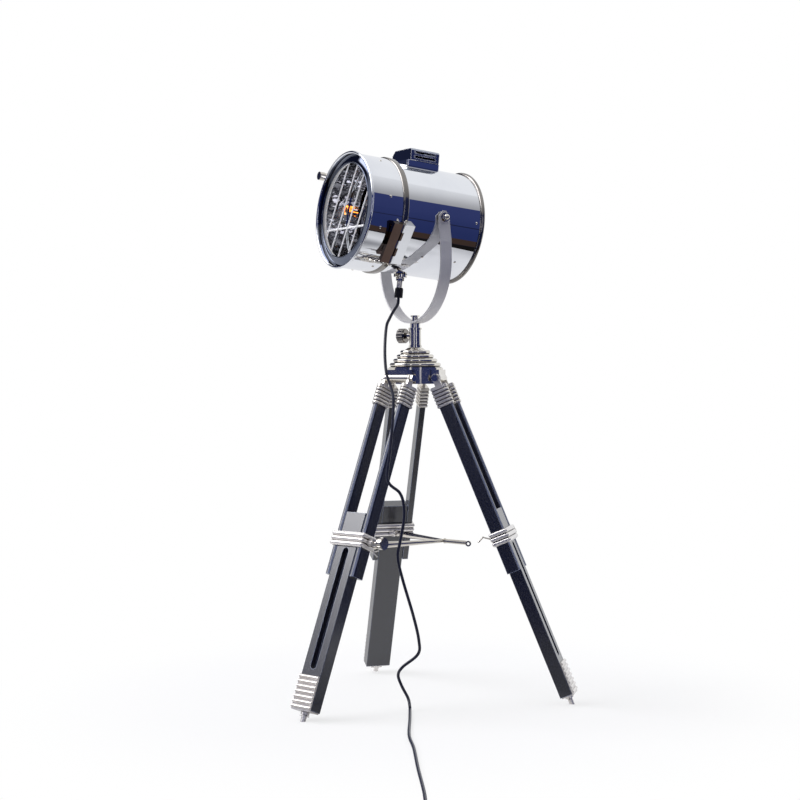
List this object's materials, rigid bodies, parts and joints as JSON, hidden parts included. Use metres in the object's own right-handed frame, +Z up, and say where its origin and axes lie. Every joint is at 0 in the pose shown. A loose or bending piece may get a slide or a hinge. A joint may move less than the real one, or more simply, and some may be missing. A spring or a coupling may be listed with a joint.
{
  "type": "floor lamp",
  "caption": "Tripod floor lamp: a chrome drum spotlight with a hinged grille door in a horseshoe yoke, on folding, telescoping black timber legs.",
  "frame": {"origin": "floor point under the crown axis", "axes": "+Z up along the crown axis; the head faces -Y, and its tilt axis runs along X"},
  "size_m": [1.2692, 0.8007, 1.172],
  "materials": {
    "nickel_casting": "nickel plated casting",
    "bright_bars": "bright satin",
    "chrome": "mirror polished",
    "polished_nickel": "polished nickel plate",
    "satin_nickel": "satin brushed",
    "hammered_reflector": "hammered, darkened",
    "zinc_plate": "zinc plated",
    "black_bakelite": "moulded black",
    "clear_glass": "clear blown glass",
    "bulb_metal": "screw cap and filament stem",
    "black_rubber": "matt",
    "black_lacquered_wood": "semi-gloss black lacquer, navy tint",
    "black_pvc": "smooth PVC"
  },
  "bodies": {
    "crown": {"crown_top": "nickel_casting", "crown_barrel": "nickel_casting", "crown_lugs": "nickel_casting", "leg_bolts": "polished_nickel", "cord_yoke": "black_pvc", "cord_floor": "black_pvc", "cord_coil": "black_pvc", "plug": "black_pvc"},
    "yoke": {"yoke_strap": "satin_nickel", "yoke_bolt": "polished_nickel", "yoke_spindle": "polished_nickel"},
    "head": {"drum_shell": "chrome", "rear_cap": "chrome", "band_ring": "chrome", "vent_base": "chrome", "vent_box": "chrome", "reflector": "hammered_reflector", "socket_bracket": "zinc_plate", "lamp_holder": "black_bakelite", "bulb_glass": "clear_glass", "bulb_cap": "bulb_metal", "drum_hinge_leaf": "chrome", "drum_latch_lug": "chrome", "tilt_bolts": "polished_nickel", "cable_gland": "polished_nickel", "strain_relief": "black_rubber", "drum_screws": "polished_nickel", "cord_head": "black_pvc"},
    "front_door": {"door_barrel": "chrome", "door_bezel": "chrome", "door_grille": "bright_bars", "door_hinge_leaf": "chrome", "door_hinge_pin": "polished_nickel", "door_latch_lug": "chrome", "door_screws": "polished_nickel"},
    "latch": {"latch_screw": "polished_nickel"},
    "pan_lock": {"pan_screw": "nickel_casting"},
    "upper_leg_a": {"ferrules_a": "nickel_casting", "rails_a": "black_lacquered_wood", "clamp_a": "nickel_casting"},
    "clamp_knob_a": {"clamp_screw_a": "nickel_casting"},
    "lower_leg_a": {"plank_a": "black_lacquered_wood", "foot_a": "nickel_casting"},
    "upper_leg_b": {"ferrules_b": "nickel_casting", "rails_b": "black_lacquered_wood", "clamp_b": "nickel_casting"},
    "clamp_knob_b": {"clamp_screw_b": "nickel_casting"},
    "lower_leg_b": {"plank_b": "black_lacquered_wood", "foot_b": "nickel_casting"},
    "upper_leg_c": {"ferrules_c": "nickel_casting", "rails_c": "black_lacquered_wood", "clamp_c": "nickel_casting"},
    "clamp_knob_c": {"clamp_screw_c": "nickel_casting"},
    "lower_leg_c": {"plank_c": "black_lacquered_wood", "foot_c": "nickel_casting"},
    "spreader_arm_a": {"spreader_rod_a": "polished_nickel"},
    "spreader_arm_c": {"spreader_rod_c": "polished_nickel", "spreader_hub": "polished_nickel"},
    "spreader_wire": {"spreader_hook": "polished_nickel"}
  },
  "joints": [
    {"name": "pan", "type": "hinge", "parent": "crown", "child": "yoke", "pos_m": [0, 0, 0.806], "axis": [0, 0, 1], "range_deg": [-175, 175], "deforming": ["cord_yoke", "cord_head"]},
    {"name": "tilt", "type": "hinge", "parent": "yoke", "child": "head", "pos_m": [0, 0, 1.02], "axis": [1, 0, 0], "range_deg": [-50, 35], "deforming": ["cord_head"]},
    {"name": "door_swing", "type": "hinge", "parent": "head", "child": "front_door", "pos_m": [0.10897, -0.10478, 0.96289], "axis": [0.5299, 0.0916, 0.8431], "range_deg": [0, 95]},
    {"name": "latch_turn", "type": "hinge", "parent": "front_door", "child": "latch", "pos_m": [-0.11837, -0.14415, 1.11903], "axis": [0, -0.9942, 0.108], "continuous": true},
    {"name": "pan_lock_turn", "type": "hinge", "parent": "crown", "child": "pan_lock", "pos_m": [-0.02571, -0.01545, 0.7767], "axis": [-0.8572, -0.515, 0], "continuous": true},
    {"name": "leg_a_fold", "type": "hinge", "parent": "crown", "child": "upper_leg_a", "pos_m": [0.01468, -0.04988, 0.686], "axis": [0.9593, 0.2823, 0], "range_deg": [0, 22.4]},
    {"name": "leg_a_slide", "type": "slide", "parent": "upper_leg_a", "child": "lower_leg_a", "axis": [0.1076, -0.3656, -0.9245], "range_m": [-0.2, 0.03]},
    {"name": "clamp_a_turn", "type": "hinge", "parent": "upper_leg_a", "child": "clamp_knob_a", "pos_m": [0.13038, -0.15963, 0.35131], "axis": [0.9593, 0.2823, 0], "continuous": true},
    {"name": "leg_b_fold", "type": "hinge", "parent": "crown", "child": "upper_leg_b", "pos_m": [0.03586, 0.03766, 0.686], "axis": [-0.7242, 0.6896, 0], "range_deg": [0, 22.4]},
    {"name": "leg_b_slide", "type": "slide", "parent": "upper_leg_b", "child": "lower_leg_b", "axis": [0.2628, 0.276, -0.9245], "range_m": [-0.2, 0.03]},
    {"name": "clamp_b_turn", "type": "hinge", "parent": "upper_leg_b", "child": "clamp_knob_b", "pos_m": [0.07306, 0.19272, 0.35131], "axis": [-0.7242, 0.6896, 0], "continuous": true},
    {"name": "leg_c_fold", "type": "hinge", "parent": "crown", "child": "upper_leg_c", "pos_m": [-0.05054, 0.01223, 0.686], "axis": [-0.2351, -0.972, 0], "range_deg": [0, 22.4]},
    {"name": "leg_c_slide", "type": "slide", "parent": "upper_leg_c", "child": "lower_leg_c", "axis": [-0.3704, 0.0896, -0.9245], "range_m": [-0.2, 0.03]},
    {"name": "clamp_c_turn", "type": "hinge", "parent": "upper_leg_c", "child": "clamp_knob_c", "pos_m": [-0.20343, -0.03309, 0.35131], "axis": [-0.2351, -0.972, 0], "continuous": true},
    {"name": "spreader_a_fold", "type": "hinge", "parent": "upper_leg_a", "child": "spreader_arm_a", "pos_m": [0.04468, -0.1518, 0.33824], "axis": [-0.9999, -0.0133, 0], "range_deg": [0, 112]},
    {"name": "spreader_c_fold", "type": "hinge", "parent": "upper_leg_c", "child": "spreader_arm_c", "pos_m": [-0.1538, 0.03721, 0.33824], "axis": [-0.0355, 0.9994, 0], "range_deg": [-57.57, 0]},
    {"name": "spreader_wire_fold", "type": "hinge", "parent": "upper_leg_b", "child": "spreader_wire", "pos_m": [0.11569, 0.12149, 0.34217], "axis": [0.7242, -0.6896, 0], "range_deg": [0, 112]}
  ],
  "couplings": [
    {"joint": "leg_b_fold", "follows": "leg_a_fold", "ratio": 1},
    {"joint": "leg_c_fold", "follows": "leg_a_fold", "ratio": 1},
    {"joint": "spreader_a_fold", "follows": "leg_a_fold", "ratio": 5},
    {"joint": "spreader_c_fold", "follows": "leg_a_fold", "ratio": -2.57},
    {"joint": "spreader_wire_fold", "follows": "leg_a_fold", "ratio": 5}
  ]
}
